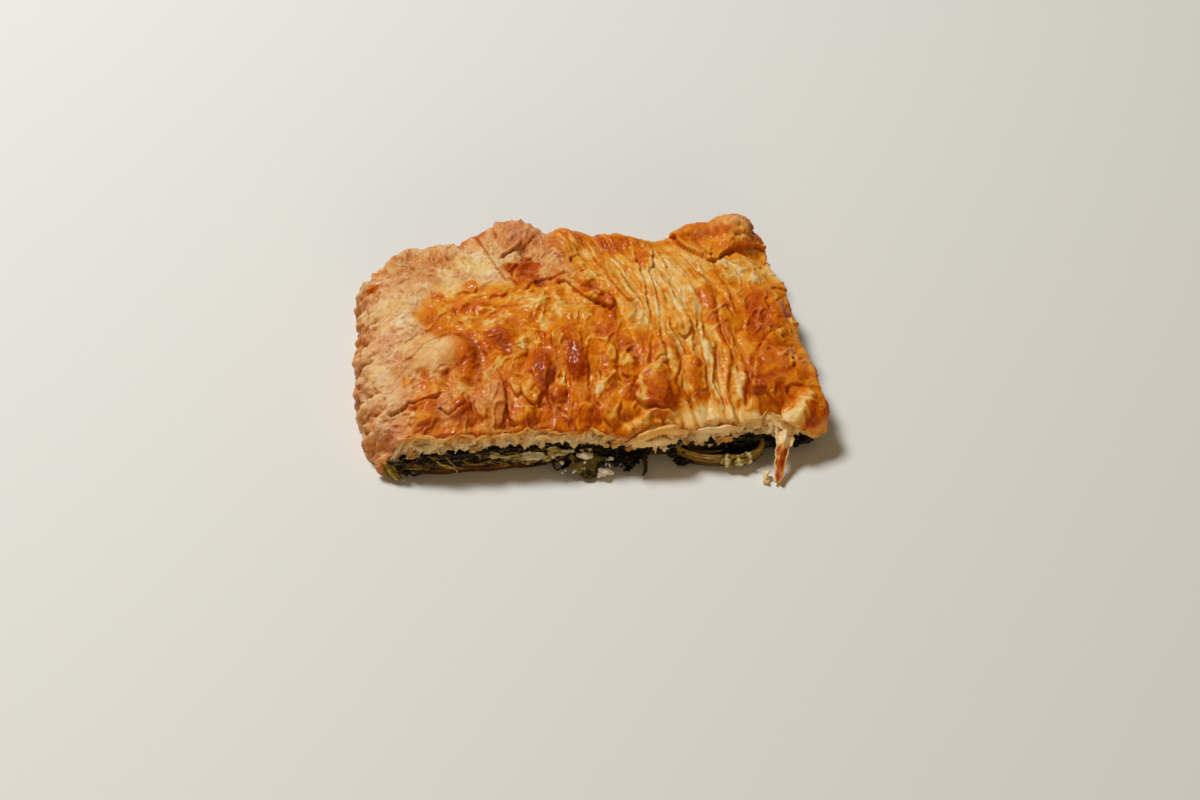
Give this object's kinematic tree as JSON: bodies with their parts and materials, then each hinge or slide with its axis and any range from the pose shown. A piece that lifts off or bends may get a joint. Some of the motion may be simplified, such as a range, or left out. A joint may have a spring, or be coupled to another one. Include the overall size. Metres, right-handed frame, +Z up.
{
  "type": "spanakopita",
  "caption": "Cut rectangular piece of spanakopita: puffed, pleated pastry crust over a spinach and cheese filling that shows at the cut front and end.",
  "frame": {"origin": "centre of the bounding box's underside, on the flat face of the bottom crust", "axes": "+X along the length towards the cut end, -Y towards the cut front, +Z up"},
  "size_m": [0.1565, 0.1273, 0.0285],
  "materials": {
    "top_crust": "baked pastry, glazed where it is brown",
    "filling": "moist cooked spinach with cheese",
    "bottom_crust": "baked pastry, dry and matt"
  },
  "bodies": {
    "root": {"top_crust": "top_crust", "filling": "filling", "bottom_crust": "bottom_crust"}
  },
  "joints": []
}
